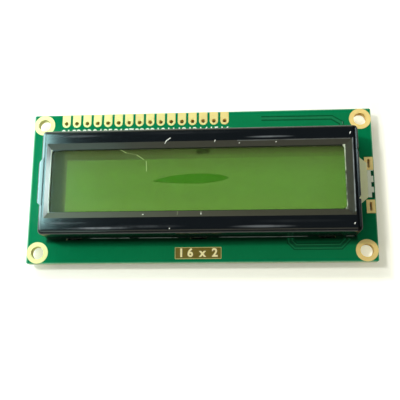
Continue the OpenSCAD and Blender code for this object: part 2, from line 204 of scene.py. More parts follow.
def near_point(x, y, ax, ay, stretch=1.0):
    """Distance in millimetres on the plan from a point; stretch weighs the square of the part along Y."""
    return ((x - ax) * (x - ax) + (y - ay) * (y - ay) * stretch).root()


def strongest(fields):
    """At each place, the highest of several fields."""
    return functools.reduce(Field.high, fields)


# ---------------------------------------------------------------- mesh makers

def piece(name, points, faces, material, slot):
    """A flat-shaded mesh whose points are in millimetres in the model's frame, riding on the board's body."""
    mesh = bpy.data.meshes.new(name)
    mesh.from_pydata((np.asarray(points) * MM).tolist(), [], [list(map(int, f)) for f in faces])
    mesh.validate()
    mesh.update()
    thing = bpy.data.objects.new(name, mesh)
    bpy.context.scene.collection.objects.link(thing)
    mesh.materials.append(material)
    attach(thing, "root")
    return thing


def ribbon(path, width, foot, top):
    """A closed strip along a polyline: at each point the two sides lie half a width along the mitre,
    which is the mean of the neighbouring normals over its length squared, and the top is narrower.
    A top below the foot turns the faces round."""
    path = np.asarray(path, float)
    run = np.diff(path, axis=0)
    run /= np.linalg.norm(run, axis=1)[:, None]
    side = np.stack([-run[:, 1], run[:, 0]], 1)
    mitre = np.vstack([side[:1], (side[1:] + side[:-1]) / 2, side[-1:]])
    mitre /= (mitre ** 2).sum(1)[:, None]
    taper = min(0.06, width * 0.2)
    lanes = [(-width / 2, foot), (width / 2, foot), (width / 2 - taper, top), (-width / 2 + taper, top)]
    rings = np.stack([np.column_stack([path + mitre * off, np.full(len(path), z)]) for off, z in lanes], 1)
    n = len(path)
    if top < foot:
        rings = rings[:, ::-1]
    base = np.arange(n - 1)[:, None] * 4
    corner = np.arange(4)
    after = (corner + 1) % 4
    quads = np.stack([base + corner, base + after, base + 4 + after, base + 4 + corner], -1)
    ends = np.array([[3, 2, 1, 0], [4 * n - 4, 4 * n - 3, 4 * n - 2, 4 * n - 1]])
    return rings.reshape(-1, 3), np.vstack([quads.reshape(-1, 4), ends])


def gather(parts):
    """Several point and face arrays as one, with the faces' numbers moved on."""
    points, faces, count = [], [], 0
    for p, f in parts:
        points.append(p)
        faces += [[corner + count for corner in face] for face in f]
        count += len(p)
    return np.vstack(points), faces


def tube(outline, inner):
    """The plating in a hole: the hole's edge as a closed loop and the same loop set in, each at the lower and
    the upper end, joined into a ring with four sides. It stands proud of the board by a land's thickness."""
    low, high = BOARD_BACK - LAND_T, BOARD_FACE + LAND_T
    n = len(outline)
    stack = lambda loop, z: np.column_stack([loop, np.full(n, z)])
    points = np.vstack([stack(outline, low), stack(outline, high), stack(inner, high), stack(inner, low)])
    here = np.arange(n)
    there = (here + 1) % n
    faces = [np.stack([k * n + here, k * n + there, (k + 1) % 4 * n + there, (k + 1) % 4 * n + here], 1)
             for k in range(4)]
    return points, np.vstack(faces)


def round_hole(x, y, radius, wall, sides):
    """The plating of a round hole: points at equal angles on circles of the radius and the radius less the wall."""
    turn = np.linspace(0, 2 * np.pi, sides, endpoint=False)
    ring = np.column_stack([np.cos(turn), np.sin(turn)])
    return tube([x, y] + ring * radius, [x, y] + ring * (radius - wall))


def slot_loop(x, y, width, length, sides=24):
    """A slot along Y: half circles of radius width / 2 about points half of length less width away."""
    angle = np.linspace(0, np.pi, sides // 2)
    reach = (length - width) / 2
    upper = np.column_stack([x + width / 2 * np.cos(angle), y + reach + width / 2 * np.sin(angle)])
    lower = np.column_stack([x - width / 2 * np.cos(angle), y - reach - width / 2 * np.sin(angle)])
    return np.vstack([upper, lower])


def outline(corners, width, foot, top):
    """A closed frame: one straight strip from each corner to the next."""
    return [ribbon([a, b], width, foot, top) for a, b in zip(corners, corners[1:] + corners[:1])]


def plate(x0, x1, y0, y1, foot, top):
    """A thin closed block."""
    return ribbon([(x0, (y0 + y1) / 2), (x1, (y0 + y1) / 2)], y1 - y0, foot, top)


def lettering(name, words, material, slot, back=False, bold=0.02):
    """Flat printed characters, each entry being text, X, Y and height. The font's outline becomes a mesh, which
    is mirrored along X for the back, moved to its place and raised clear of the lacquer."""
    level = BOARD_BACK - PRINT_RISE if back else BOARD_FACE + PRINT_RISE
    side = -1 if back else 1
    sheets = []
    for text, x, y, height in words:
        curve = bpy.data.curves.new(name, "FONT")
        curve.body, curve.size, curve.align_x, curve.align_y = text, height / CAP_SHARE, "CENTER", "CENTER"
        curve.resolution_u, curve.offset = 3, height * bold
        holder = bpy.data.objects.new(name, curve)
        bpy.context.scene.collection.objects.link(holder)
        bpy.context.view_layer.update()
        flat = holder.evaluated_get(bpy.context.evaluated_depsgraph_get()).to_mesh()
        co = np.zeros(len(flat.vertices) * 3)
        flat.vertices.foreach_get("co", co)
        co = co.reshape(-1, 3)
        points = np.column_stack([co[:, 0] * side + x, co[:, 1] + y, np.full(len(co), level)])
        sheets.append((points, [list(p.vertices)[::side] for p in flat.polygons]))
        holder.to_mesh_clear()
        bpy.data.objects.remove(holder)
        bpy.data.curves.remove(curve)
    return piece(name, *gather(sheets), material, slot)


# ---------------------------------------------------------------- finishes

def make_solder_mask(name, tone):
    """Green lacquer over copper or laminate: slow mottle, fine weave, dust and a shallow orange peel."""
    f = Finish(name, IOR=1.5, Specular_IOR_Level=0.32)
    mottle = f.noise(0.12, 3.0)
    weave = f.noise(2.2, 1.0, 0.4, stretch=(1.0, 0.25, 1.0))
    colour = f.blend(mottle, tuple(c * 0.86 for c in tone), tuple(c * 1.12 for c in tone))
    colour = f.tint(colour, 0.94 + weave * 0.12)
    dust = f.noise(5.0, 2.0, 0.7).ramp(0.74, 0.80)
    colour = f.blend(dust * 0.25, colour, (0.30, 0.42, 0.32))
    f.set(Base_Color=colour, Roughness=0.16 + f.noise(0.9, 2.0) * 0.10)
    return f.relief(f.noise(1.6, 2.0), 0.012)


def make_board():
    """The board: lacquered faces over copper areas and bare laminate, and raw sawn laminate on its sides."""
    f = Finish("board_lacquer", IOR=1.5, Specular_IOR_Level=0.14)
    x, y, _ = f.axes()
    _, _, up = f.facing()
    flat = abs(up).ramp(0.55, 0.75)
    mottle = f.noise(0.10, 3.0)
    weave = f.noise(2.2, 1.0, 0.4, stretch=(1.0, 0.25, 1.0))
    bare = (0.0005, 0.172, 0.064)
    poured = (0.003, 0.172, 0.062)
    # copper runs between the left margin and the right margin, and stops short of the board's edges
    edge = (x - LEFT).low(RIGHT - x).low((y - LOWER).low(UPPER - y))
    copper = edge.ramp(0.75, 0.95) * x.ramp(-30.6, -29.9) * x.ramp(36.2, 35.4)
    lacquer = f.blend(copper * x.ramp(-37.0, -4.0), bare, poured)
    lacquer = f.tint(lacquer, 0.88 + mottle * 0.18 + weave * 0.10)
    # the lacquer thins and scuffs along the sawn edge, and a painted highlight runs along the left edge, where its
    # rounding catches the light
    rim_scuff_and_highlight = edge.ramp(0.34, 0.05) * (0.25 + 0.3 * f.noise(1.4, 2.0))
    rim_scuff_and_highlight = rim_scuff_and_highlight + (x - LEFT).ramp(0.42, 0.08) * 0.5
    lacquer = f.blend(rim_scuff_and_highlight.clamped(), lacquer, (0.20, 0.56, 0.38))
    # painted shade along the foot of the bezel's front wall, where its shadow falls; the mask reaches from just
    # outside the foot back towards the middle, on the back face as well
    foot_shade = (y - BEZEL_FRONT).ramp(-0.67, 0.58) * abs(x).ramp(35.9, 35.2) * y.ramp(0.0, -5.0)
    lacquer = f.tint(lacquer, 1 - foot_shade * 0.84)
    dust = f.noise(5.0, 2.0, 0.7).ramp(0.74, 0.80)
    lacquer = f.blend(dust * 0.2, lacquer, (0.20, 0.36, 0.24))
    # sawn laminate: pale layers of glass cloth through the thickness
    layers = f.out("ShaderNodeTexWave", {"wave_type": "BANDS", "bands_direction": "Z"},
                   {"Vector": f.place, "Scale": 0.6 / MM, "Distortion": 1.5, "Detail": 1.0, "Detail Scale": 2.0})
    raw = f.blend(layers, (0.46, 0.55, 0.33), (0.60, 0.69, 0.46))
    raw = f.blend(f.noise(1.1, 3.0, 0.7).ramp(0.50, 0.7) * 0.6, raw, (0.30, 0.48, 0.27))
    f.set(Base_Color=f.blend(flat, raw, lacquer), Roughness=0.62 - flat * 0.50 + f.noise(0.9, 2.0) * 0.07)
    return f.relief(f.noise(1.6, 2.0) * 0.4 + copper * flat * 2.0, 0.02)


def make_gold():
    """Soft gold plating: pale, slightly grained, with scattered brown stains."""
    f = Finish("gold_plate", Metallic=0.18, IOR=1.5)
    x, _, _ = f.axes()
    stain = f.noise(0.8, 3.0, 0.6).ramp(0.50, 0.75)
    # partly painted light: the gold goes from lemon at the left to orange at the right, as a change in the
    # plating's tint and as the light's colour across the board
    along = x.ramp(-40.0, 38.0)
    colour = f.blend(along, (0.76, 0.71, 0.31), (0.93, 0.67, 0.235))
    colour = f.tint(colour, 0.92 + f.noise(0.25, 2.0) * 0.12)
    colour = f.blend(stain * 0.30, colour, (0.78, 0.50, 0.16))
    f.set(Base_Color=colour, Roughness=0.38 + f.noise(3.0, 2.0) * 0.20)
    return f.relief(f.noise(6.0, 2.0), 0.006)


# painted highlights: soft light streaks along the bezel's flats: middle X and Y, half length, half height and
# strength
HIGHLIGHT_STREAKS = [
    (-21.5, -11.18, 9.5, 0.36, 0.80), (-12.0, -10.9, 11.0, 0.50, 0.14), (14.5, -11.12, 8.5, 0.40, 0.50),
    (16.2, 9.30, 6.5, 0.32, 0.55), (-28.0, 10.25, 9.0, 0.42, 0.22), (-29.5, -9.95, 7.0, 0.36, 0.26),
    (-2.0, 10.6, 16.0, 0.45, 0.04), (22.0, -10.0, 12.0, 0.5, 0.05),
]
# chips in the bezel's paint, and painted glints near the right-hand corners (the third and fourth entries): from X
# and Y, to X and Y, half width
CHIPS_AND_GLINTS = [
    (-7.4, 8.25, -6.95, 8.85, 0.13), (-6.95, 8.85, -6.15, 9.4, 0.13),
    (33.9, 9.7, 34.05, 10.0, 0.16), (33.95, -10.75, 34.05, -10.55, 0.15),
    (3.85, 8.4, 4.0, 8.7, 0.13), (9.35, 8.0, 9.45, 8.1, 0.10),
    (-6.1, -11.4, -6.05, -11.35, 0.14), (-12.15, -8.15, -12.0, -8.1, 0.12),
    (0.78, -7.9, 0.82, -8.25, 0.08), (17.5, 8.1, 17.7, 8.15, 0.10),
]
# where the front wall's foot shows bare steel and a painted glint: X where it begins and is full, X where it fades
# and ends
BARE_AND_GLINT_RUNS = [(-25.6, -24.6, -16.2, -15.6), (-14.2, -13.4, -5.6, -4.4),
             (4.0, 5.5, 23.5, 25.0), (32.8, 33.2, 34.3, 34.8)]


def make_bezel():
    """Glossy black paint on folded steel: dust, chips to bare metal, dark spots and a dead right-hand fold, with
    painted highlights (soft streaks and light lines on the flats, glints near the right-hand corners, along the
    window's cut edge and along the walls' foot) and a painted reflection towards the left end. Each mark is a
    smooth step on the distance from a line or a point of the plan."""
    f = Finish("black_bezel_paint", IOR=1.5, Coat_Weight=0.25, Coat_Roughness=0.10)
    x, y, z = f.axes()
    _, ny, nz = f.facing()
    colour = f.blend(f.noise(0.2, 3.0), (0.0022, 0.0026, 0.0032), (0.0045, 0.005, 0.006))
    # the drawn bevel round the window has a duller skin than the flats
    slope = nz.ramp(0.97, 0.93) * (z - (BEZEL_FACE - 1.1)).ramp(-0.1, 0.05)
    slope = slope * abs(x).ramp(34.45, 34.4) * abs(y).ramp(9.4, 9.2)
    colour = f.blend(slope * (0.5 + f.noise(0.5, 3.0, 0.6) * 0.5), colour, (0.014, 0.014, 0.008))
    dust = f.noise(4.5, 3.0, 0.7).ramp(0.70, 0.80)
    colour = f.blend(dust * 0.15, colour, (0.10, 0.105, 0.105))
    # painted reflection: a pale blue sheen on the flats towards the left end, left out in a spot at each left-hand
    # corner
    left_reflection = x.ramp(-17.0, -35.0) * nz.ramp(0.93, 0.97)
    left_reflection = left_reflection * (0.5 + 0.5 * f.noise(0.35, 3.0, stretch=(0.2, 1.0, 1.0)))
    left_reflection = left_reflection * near_point(x, y, -34.15, 10.0).low(near_point(x, y, -34.1, -10.66)).ramp(0.45, 0.9)
    colour = f.blend(left_reflection * 0.10, colour, (0.040, 0.055, 0.058))
    # two fine scores down the lower bevel
    scores = (near_line(x, y, 0.75, -6.9, 0.80, -8.3).ramp(0.12, 0.03) * 0.7).high(
        near_line(x, y, -4.4, -6.9, -4.42, -8.3).ramp(0.11, 0.03) * 0.5)
    colour = f.blend(scores * slope, colour, (0.20, 0.22, 0.14))
    # painted highlights: light lines along the bevel's right and upper edges, and the streaks
    edge_highlights = [near_line(x, y, 34.44, 8.6, 34.30, -7.9).ramp(0.2, 0.05) * 0.8,
               near_line(x, y, 9.0, 8.52, 33.9, 8.52).ramp(0.16, 0.04) * 0.35]
    painted_highlights = strongest(edge_highlights + [
        near_point(x, y, middle_x, middle_y, (half / high) ** 2).ramp(half, half * 0.1) * strength
        for middle_x, middle_y, half, high, strength in HIGHLIGHT_STREAKS])
    on_face = (z - (BEZEL_FACE - 0.3)).ramp(-0.02, 0.02)
    painted_highlights = painted_highlights * (0.4 + 0.6 * f.noise(0.25, 2.0).ramp(0.3, 0.6)) * on_face
    colour = f.blend(painted_highlights, colour, (0.23, 0.25, 0.27))
    # darker spots on the right bevel, one of them running into its lower right corner
    dark_spots = near_point(x, y, 33.7, -3.7).ramp(0.55, 0.2)
    dark_spots = dark_spots.high(near_line(x, y, 33.2, -7.6, 34.2, -8.9).ramp(0.5, 0.2))
    colour = f.blend(dark_spots * slope * 0.85, colour, (0.003, 0.003, 0.003))
    # paint chips, and painted glints near the right-hand corners
    chips_and_glints = strongest(near_line(x, y, *ends).ramp(wide, wide * 0.45) for *ends, wide in CHIPS_AND_GLINTS)
    chips_and_glints = chips_and_glints * (z - (BEZEL_FACE - 1.3)).ramp(-0.02, 0.02)
    colour = f.blend(chips_and_glints, colour, (0.78, 0.80, 0.76))
    # painted highlight on the window's cut edge, where the rounded edge catches the light: along its right end and
    # at the upper right corner, and at its left end
    brim_glint = (BEZEL_FACE - 0.76 - z).ramp(-0.03, 0.03) * (z - (BEZEL_FACE - 1.02)).ramp(-0.04, 0.04)
    brim_glint = brim_glint * abs(x).ramp(34.2, 34.1) * abs(y).ramp(8.8, 8.7)
    glint_strength = x.ramp(32.2, 32.5) * (0.05 + 0.8 * f.noise(0.7, 3.0).ramp(0.3, 0.7) + 0.5 * y.ramp(4.0, 6.5))
    glint_strength = glint_strength + x.ramp(-33.3, -33.5) * 0.7
    colour = f.blend((brim_glint * glint_strength).clamped(), colour, (0.50, 0.56, 0.42))
    # bare steel along the cut foot of the walls, painted pale so that it also stands for the glint along that edge,
    # most of all in a few runs of the front one
    foot = (z - BOARD_FACE).ramp(1.25, 0.9) * (z - BOARD_FACE).ramp(0.15, 0.35) * (1 - abs(ny).ramp(0.9, 0.8))
    runs = strongest(x.ramp(begins, full) * x.ramp(ends, fades) for begins, full, fades, ends in BARE_AND_GLINT_RUNS)
    bare = foot * (0.10 + 0.85 * runs * f.noise(0.3, 2.0).ramp(0.2, 0.45))
    colour = f.blend(bare, colour, (0.50, 0.56, 0.56))
    # the right-hand fold has a dead, sooty skin
    rubbed = x.ramp(34.35, 34.9)
    f.set(Base_Color=colour, Roughness=0.17 + slope * 0.10 + rubbed * 0.10 + f.noise(1.2, 2.0) * 0.08,
          Coat_Weight=0.25 - rubbed * 0.24, Metallic=rubbed * 0.88)
    grain = f.noise(0.5, 2.0, stretch=(0.08, 1.0, 1.0))
    return f.relief(grain * 0.7 + f.noise(3.0, 2.0) * 0.25, 0.006)


# hair scratches and specks on the display's face: from X and Y, to X and Y, half width and strength
SCRATCHES = [
    (-11.72, 4.4, -11.62, 2.05, 0.14, 0.55), (-11.05, 3.8, -10.5, 1.2, 0.07, 0.22),
    (-18.4, 7.6, -16.4, 6.5, 0.13, 0.60), (-16.4, 6.5, -13.9, 5.9, 0.12, 0.50),
    (-13.9, 5.9, -12.3, 4.8, 0.12, 0.55), (-30.1, -3.2, -30.0, -6.4, 0.12, 0.22),
    (-29.3, -2.6, -29.1, -6.4, 0.10, 0.18), (-28.2, -4.6, -28.0, -6.4, 0.10, 0.14),
    (0.31, -3.9, 0.31, -3.4, 0.16, 0.35), (0.7, -6.3, 0.8, -7.2, 0.07, 0.30),
    (-4.4, -6.3, -4.4, -7.2, 0.06, 0.25), (14.6, 7.2, 14.2, 4.2, 0.07, 0.16),
    (19.2, 6.0, 19.0, 3.0, 0.06, 0.14), (24.6, 4.0, 24.9, 3.6, 0.12, 0.18),
    (7.6, -2.4, 8.0, -2.6, 0.14, 0.10),
]


def make_polariser():
    """The display's face: a green-grey film, part see-through, with hair scratches, specks and a lens-shaped
    patch where the cover film has wetted the surface."""
    f = Finish("polariser_face", IOR=1.5, Specular_IOR_Level=0.2, Coat_Weight=0.05, Coat_Roughness=0.2)
    x, y, _ = f.axes()
    _, _, up = f.facing()
    top = up.ramp(0.4, 0.6)
    # the patch lies between an upper and a lower arc that meet at its pointed ends
    t = (x + 1.7) / 8.75
    bow = (1 - t * t).high(0.0) ** 0.7
    middle = 0.32 * t - 0.08
    upper = middle + bow * (1.42 + 0.14 * t)
    lower = middle - bow * (1.0 + 0.45 * t)
    patch = (upper - y).ramp(0.0, 0.14) * (y - lower).ramp(0.0, 0.14) * bow.ramp(0.0, 0.05)
    marks = strongest(near_line(x, y, *ends).ramp(wide, wide * 0.3) * strength
                      for *ends, wide, strength in SCRATCHES)
    film = f.blend(f.noise(0.07, 2.0), (0.105, 0.150, 0.036), (0.130, 0.170, 0.048))
    # painted shade: the film darkens at its left edge, where the bezel's shadow falls
    film = f.tint(film, 1 - x.ramp(-30.35, -30.85) * 0.55)
    film = f.blend(patch, film, (0.020, 0.115, 0.0))
    smudge = near_line(x, y, 0.3, 6.45, 2.2, 6.55).ramp(1.0, 0.35) * (0.6 + 0.4 * f.noise(0.9, 3.0))
    film = f.blend(smudge, film, (0.012, 0.022, 0.003))
    film = f.blend(marks, film, (0.60, 0.80, 0.35))
    speck = f.noise(1.6, 2.0, 0.7).ramp(0.76, 0.80)
    film = f.blend(speck * 0.3, film, (0.35, 0.50, 0.20))
    cloud = f.noise(0.25, 3.0) * 0.06
    f.set(Base_Color=film, Roughness=0.20 + f.noise(0.8, 2.0) * 0.08 - patch * 0.06,
          Alpha=top * strongest([0.31 + cloud + patch * 0.20, marks, speck * 0.3, smudge * 0.8]) + (1 - top) * 0.02)
    return f.material


def make_clear(name, colour, alpha, edge_alpha):
    """A clear plate: nearly nothing across its faces, and green and denser through its ground edges."""
    f = Finish(name, Roughness=0.08, IOR=1.5)
    _, _, up = f.facing()
    side = 1 - abs(up).ramp(0.5, 0.7)
    f.set(Base_Color=f.blend(f.noise(0.8, 2.0), colour, tuple(min(1.0, c * 1.15) for c in colour)),
          Alpha=alpha + side * edge_alpha)
    return f.material


def make_transflector():
    """The rear polariser with its pearly layer, which gives the display its green; slow cloudy streaks, with
    painted shade at the left, painted light towards the bottom, and the bezel's painted shadow along the left and
    upper edges.
    """
    f = Finish("pearl_green_film", Roughness=0.5, IOR=1.5)
    x, y, _ = f.axes()
    # painted shade: the film is darker towards the left, where the lamps light it most
    across = x.ramp(-34.0, 33.0)
    base = f.blend(across, (0.064, 0.215, 0.0), (0.090, 0.318, 0.020))
    # painted light: lighter towards the bottom, away from the shade along the top
    lower = y.ramp(-2.0, -7.5)
    base = f.blend(lower * 0.30, base, (0.20, 0.46, 0.045))
    # painted shadow of the bezel's window edge, along the left and upper sides outside the lit field, widest at the
    # left
    bezel_shadow = x.ramp(-30.45, -30.85).high(y.ramp(5.35, 5.8) * (0.45 + 0.55 * x.ramp(8.0, -20.0)))
    base = f.blend(bezel_shadow, base, (0.020, 0.050, 0.008))
    cloud = f.noise(0.10, 3.0, 0.6)
    streak = f.noise(0.9, 2.0, 0.5, stretch=(1.0, 0.06, 1.0))
    base = f.tint(base, 0.88 + cloud * 0.20 + streak * 0.07)
    f.set(Base_Color=base)
    return f.relief(f.noise(2.5, 2.0), 0.008)


def make_plain(name, dark, light, roughness, per_mm=1.0, depth=0.01, **uniform):
    """A moulded or cast finish: two close tones in fine mottle, uneven gloss and a shallow grain."""
    f = Finish(name, **uniform)
    mottle = f.noise(per_mm, 3.0, 0.55)
    gloss = roughness - 0.06 + f.noise(per_mm * 2.3, 2.0) * 0.12
    f.set(Base_Color=f.blend(mottle, dark, light), Roughness=gloss)
    return f.relief(f.noise(per_mm * 4, 2.0), depth)


def make_strip():
    """Silicone rubber with carbon layers that stand on edge every tenth of a millimetre."""
    f = Finish("layered_rubber", Roughness=0.55)
    x, y, _ = f.axes()
    saw = (x * 5.0).fraction()
    core = abs(y + 0.25).ramp(9.7, 9.8) * abs(y + 0.25).ramp(10.9, 10.8)
    layers = saw.ramp(0.42, 0.5) * core
    f.set(Base_Color=f.blend(layers, (0.62, 0.36, 0.32), (0.03, 0.03, 0.03)))
    return f.relief(f.noise(3.0, 2.0), 0.01)


def make_epoxy():
    """Cured black epoxy: half gloss with a matt skin, pin holes and slow ripples."""
    f = Finish("black_epoxy", IOR=1.5, Coat_Weight=0.3, Coat_Roughness=0.25)
    ripple = f.noise(0.22, 3.0, 0.5)
    pits = f.cells(0.9).ramp(0.10, 0.04)
    colour = f.blend(ripple, (0.010, 0.010, 0.011), (0.022, 0.022, 0.024))
    colour = f.blend(f.noise(3.0, 3.0, 0.7).ramp(0.68, 0.8) * 0.3, colour, (0.10, 0.10, 0.10))
    f.set(Base_Color=colour, Roughness=0.34 + ripple * 0.2)
    return f.relief(ripple - pits * 0.4, 0.06)


MASK = make_solder_mask("lacquered_trace", (0.008, 0.175, 0.066))
GAP = make_solder_mask("lacquered_gap", (0.001, 0.085, 0.030))
GOLD = make_gold()
SILK = make_plain("white_print", (0.76, 0.80, 0.66), (0.88, 0.90, 0.78), 0.55, 1.5, 0.01)
TIN = make_plain("tin_ends", (0.50, 0.50, 0.49), (0.68, 0.68, 0.66), 0.34, 2.0, 0.01, Metallic=0.9)
GILT = make_plain("gilt_print", (0.92, 0.82, 0.42), (1.0, 0.92, 0.55), 0.35, 2.0, 0.01)
LAMINATE = make_plain("bare_laminate", (0.13, 0.095, 0.006), (0.20, 0.145, 0.02), 0.5)

FINISHES = {
    "circuit_board": make_board(),
    "mounting_lands": GOLD, "header_lands": GOLD, "backlight_lands": GOLD,
    "upper_contact_pads": GOLD, "lower_contact_pads": GOLD,
    "bezel": make_bezel(),
    "front_polariser": make_polariser(),
    "front_glass": make_clear("front_plate_glass", (0.45, 0.75, 0.45), 0.006, 0.45),
    "rear_glass": make_clear("rear_plate_glass", (0.45, 0.75, 0.45), 0.006, 0.45),
    "liquid_crystal": make_clear("cell_filling", (0.25, 0.45, 0.08), 0.015, 0.5),
    "cell_seal": make_clear("seal_bead", (0.06, 0.09, 0.03), 0.35, 0.5),
    "fill_plug": make_clear("port_glue", (0.10, 0.11, 0.04), 0.30, 0.5),
    "rear_polariser": make_transflector(),
    "upper_elastomer_strip": make_strip(),
    "backlight_frame": make_plain("white_frame", (0.74, 0.75, 0.71), (0.84, 0.85, 0.81), 0.45),
    "diffuser_film": make_plain("milky_film", (0.80, 0.84, 0.72), (0.88, 0.90, 0.80), 0.5),
    "light_guide": make_plain("acrylic_guide", (0.60, 0.78, 0.42), (0.70, 0.86, 0.52), 0.12),
    "reflector_film": make_plain("reflector_sheet", (0.86, 0.88, 0.54), (0.93, 0.95, 0.62), 0.42, 0.5, 0.006),
    "led_board": make_plain("strip_board", (0.70, 0.68, 0.58), (0.80, 0.78, 0.68), 0.5),
    "backlight_leds": make_plain("lamp_resin", (0.80, 0.78, 0.28), (0.90, 0.86, 0.40), 0.2),
    "controller_chip": make_plain("chip_silicon", (0.08, 0.09, 0.11), (0.12, 0.13, 0.16), 0.2),
    "controller_epoxy_drop": make_epoxy(),
    "resistor_bodies": make_plain("resistor_glaze", (0.012, 0.012, 0.014), (0.03, 0.03, 0.034), 0.3),
    "resistor_end_caps": TIN, "capacitor_end_caps": TIN,
    "capacitor_bodies": make_plain("capacitor_ceramic", (0.34, 0.22, 0.12), (0.46, 0.32, 0.19), 0.4),
}
FINISHES["lower_elastomer_strip"] = FINISHES["upper_elastomer_strip"]
FINISHES["driver_chip"] = FINISHES["controller_chip"]
FINISHES["driver_epoxy_drop"] = FINISHES["controller_epoxy_drop"]
for name, node in nodes.items():
    node.data.materials.clear()
    node.data.materials.append(FINISHES[name])

# ---------------------------------------------------------------- plating in the holes

barrels = [round_hole(x, y, SCREW_HOLE_R, 0.04, 64) for x in (-SCREW_X, SCREW_X) for y in (-SCREW_Y, SCREW_Y)]
barrels += [round_hole(pin[0] / MM, PIN_Y, PIN_HOLE_R, 0.03, 32) for pin in PINS]
barrels += [tube(slot_loop(LAMP_X, y, LAMP_SLOT_W, LAMP_SLOT_L),
                 slot_loop(LAMP_X, y, LAMP_SLOT_W - 0.06, LAMP_SLOT_L - 0.06)) for y in LAMP_SLOTS]
piece("plated_barrels", *gather(barrels), GOLD, "gold_plating")

# ---------------------------------------------------------------- traces under the lacquer

def routes(name, paths, width, gap, back=False):
    """Each path becomes a wide dark strip where the copper is cleared and a narrow lighter one on top."""
    base = BOARD_BACK if back else BOARD_FACE
    way = -1 if back else 1
    cleared = [ribbon(p, width + 2 * gap, base - 0.002 * way, base + GAP_RISE * way) for p in paths]
    copper = [ribbon(p, width, base - 0.001 * way, base + TRACE_RISE * way) for p in paths]
    piece(name + "_gaps", *gather(cleared), GAP, "solder_mask")
    piece(name, *gather(copper), MASK, "solder_mask")


routes("front_traces", [
    [(21.0, -12.6), (21.0, -13.2), (21.9, -14.1), (31.6, -14.1), (32.9, -12.8)],
    [(20.2, -12.6), (20.2, -13.6), (21.5, -14.9), (31.9, -14.9), (33.9, -12.9)],
], 0.30, 0.30)
routes("upper_trace", [[(14.6, 16.1), (31.0, 16.0), (33.2, 14.6), (33.2, 12.6)]], 0.62, 0.30)

# behind the board: eleven header lines fan in to the controller
back_paths = [[(PINS[i][0] / MM, 14.2), (PINS[i][0] / MM, 11.2 - 0.35 * abs(i - 8)),
               (-15 + (i - 8) * 0.95, 9.2), (-15 + (i - 8) * 0.8, 6.6)] for i in range(3, 14)]
# nine lines run across from the controller, and all but the middle five reach the driver
for i in range(9):
    y = 4.4 - i * 1.1
    start = [(-8.2, y * 0.8), (-4.0, y)]
    back_paths.append(start + ([(-1.6, y)] if 1 < i < 7 else [(4.0, y), (8.2, y * 0.8)]))
# groups of eight fan out from both chips to the contact rows
for i in range(8):
    left, right = -18.5 + i, 11.5 + i
    back_paths += [[(left, -6.7), (left * 1.15, -9.5), (left * 1.15, -11.0)],
                   [(right, -6.7), (right * 1.1, -9.5), (right * 1.1, -11.0)],
                   [(right, 6.7), (right * 1.1, 9.5), (right * 1.1, 10.4)]]
# and two lines feed the backlight's lands
back_paths += [[(28.5, 6.0), (31.0, 6.0), (32.4, 4.6), (37.8, 4.6)],
               [(28.5, -6.5), (32.0, -6.5), (33.0, -5.5), (37.8, -5.5)]]
routes("back_traces", back_paths, 0.26, 0.16, back=True)

# ---------------------------------------------------------------- printing and gold marks

lettering("pin_numbers", [("%02d" % (i + 1), pin[0] / MM, 13.38, 1.7) for i, pin in enumerate(PINS)],
          SILK, "solder_mask")
lettering("gold_marks", [("1 6  x  2", -0.30, -15.83, 1.9)], GILT, "gold_plating", bold=0.05)
frame_corners = [(-5.5, -14.55), (4.95, -14.55), (4.95, -17.1), (-5.5, -17.1)]
piece("gold_frame", *gather(outline(frame_corners, 0.12, BOARD_FACE, BOARD_FACE + PRINT_RISE)),
      GOLD, "gold_plating")
piece("legend_ground", *plate(-5.4, 4.85, -17.05, -14.6, BOARD_FACE, BOARD_FACE + 0.01), LAMINATE, "solder_mask")
# between the backlight's lands: a white block, with green notches in its outer edge
print_blocks = [plate(38.45, 39.75, low, high, BOARD_FACE, BOARD_FACE + PRINT_RISE)
                for low, high in [(3.0, 3.5), (-3.4, 2.95)]]
piece("print_block", *gather(print_blocks), SILK, "solder_mask")
notches = [plate(39.25, 39.9, low, high, BOARD_FACE + 0.02, BOARD_FACE + PRINT_RISE + 0.01)
           for low, high in [(1.6, 2.9), (-1.0, 0.2), (-3.6, -2.2)]]
piece("print_notches", *gather(notches), GAP, "solder_mask")

# behind the board: frames round the chip parts, given by middle and size, and rings round the epoxy drops
PART_FRAMES = [(0, 5.5, 2.1, 3.4), (0, 0.5, 2.1, 3.4), (0, -5.0, 2.1, 3.4), (-28.5, 2.0, 2.1, 3.4),
               (27.5, -6.5, 3.4, 2.1), (27.5, 6.0, 3.4, 2.1)]
PART_FRAMES += [(-30.5 + 2.6 * i, -14.6, 2.1, 3.2) for i in range(5)]
DROP_X, DROP_RING_R = 15.0, 8.6
marks = []
for x, y, w, h in PART_FRAMES:
    corners = [(x + i * w / 2, y + j * h / 2) for i, j in [(-1, -1), (1, -1), (1, 1), (-1, 1)]]
    marks += outline(corners, 0.14, BOARD_BACK, BOARD_BACK - PRINT_RISE)
turn = np.linspace(0, 2 * np.pi, 49)
for x in (-DROP_X, DROP_X):
    ring = np.column_stack([x + DROP_RING_R * np.cos(turn), DROP_RING_R * np.sin(turn)])
    marks.append(ribbon(ring, 0.18, BOARD_BACK, BOARD_BACK - PRINT_RISE))
piece("back_outlines", *gather(marks), SILK, "solder_mask")
lettering("back_numbers", [("1", PINS[0][0] / MM, 13.4, 1.1), ("16", PINS[15][0] / MM, 13.4, 1.1),
                           ("2", 36.2, 4.6, 1.1), ("1", 36.2, -5.5, 1.1)], SILK, "solder_mask", back=True)

# ---------------------------------------------------------------- studio

